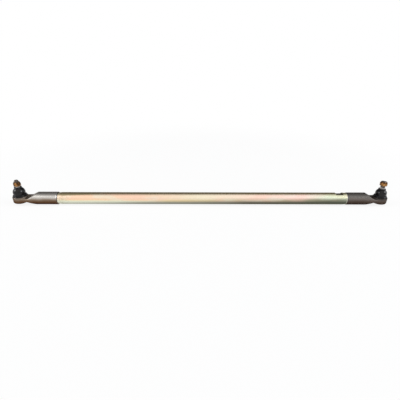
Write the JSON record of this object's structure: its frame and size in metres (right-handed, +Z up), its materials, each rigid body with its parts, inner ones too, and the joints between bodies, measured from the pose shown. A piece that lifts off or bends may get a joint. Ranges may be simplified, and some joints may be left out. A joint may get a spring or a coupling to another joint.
{
  "type": "steering drag link",
  "caption": "Plated round steering drag link with a forged, rubber-booted ball joint screwed on each end; tapered studs with castle nuts point up.",
  "frame": {"origin": "on the left ball stud's axis, at the big end of its taper, where a steering arm seats", "axes": "+X along the bar to the right ball joint, +Z up along both studs, -Y is the front"},
  "size_m": [1.0991, 0.0416, 0.0751],
  "materials": {
    "bar_zinc": "yellow zinc plating, satin, with faint rainbow tints",
    "left_forging": "forged steel, satin grey-brown",
    "right_forging": "forged steel, dark satin",
    "stud_steel": "ground taper, plain rolled thread",
    "nut_zinc": "gold zinc plating",
    "seat_plastic": "natural acetal",
    "spring_steel": "blued spring steel",
    "plate_steel": "pressed steel, oiled",
    "boot_rubber": "smooth black rubber",
    "ring_wire": "black phosphated wire"
  },
  "bodies": {
    "link": {"bar": "bar_zinc", "left_housing": "left_forging", "left_upper_ball_seat": "seat_plastic", "left_lower_ball_seat": "seat_plastic", "left_disc_spring": "spring_steel", "left_closing_plate": "plate_steel", "left_boot_base_ring": "ring_wire", "right_housing": "right_forging", "right_upper_ball_seat": "seat_plastic", "right_lower_ball_seat": "seat_plastic", "right_disc_spring": "spring_steel", "right_closing_plate": "plate_steel", "right_boot_base_ring": "ring_wire"},
    "left_boot": {"left_dust_boot": "boot_rubber"},
    "left_boot_neck": {"left_boot_neck_ring": "ring_wire"},
    "left_stud": {"left_ball_stud": "stud_steel", "left_castle_nut": "nut_zinc"},
    "right_boot": {"right_dust_boot": "boot_rubber"},
    "right_boot_neck": {"right_boot_neck_ring": "ring_wire"},
    "right_stud": {"right_ball_stud": "stud_steel", "right_castle_nut": "nut_zinc"}
  },
  "joints": [
    {"name": "left_lean_along", "type": "hinge", "parent": "link", "child": "left_boot", "pos_m": [0, 0, -0.022], "axis": [0, 1, 0], "range_deg": [-18, 18], "deforming": ["left_dust_boot"]},
    {"name": "left_lean_across", "type": "hinge", "parent": "left_boot", "child": "left_boot_neck", "pos_m": [0, 0, -0.022], "axis": [1, 0, 0], "range_deg": [-18, 18]},
    {"name": "left_spin", "type": "hinge", "parent": "left_boot_neck", "child": "left_stud", "pos_m": [0, 0, -0.022], "axis": [0, 0, 1], "continuous": true},
    {"name": "right_lean_along", "type": "hinge", "parent": "link", "child": "right_boot", "pos_m": [1.0585, 0, -0.022], "axis": [0, 1, 0], "range_deg": [-18, 18], "deforming": ["right_dust_boot"]},
    {"name": "right_lean_across", "type": "hinge", "parent": "right_boot", "child": "right_boot_neck", "pos_m": [1.0585, 0, -0.022], "axis": [1, 0, 0], "range_deg": [-18, 18]},
    {"name": "right_spin", "type": "hinge", "parent": "right_boot_neck", "child": "right_stud", "pos_m": [1.0585, 0, -0.022], "axis": [0, 0, 1], "continuous": true}
  ]
}
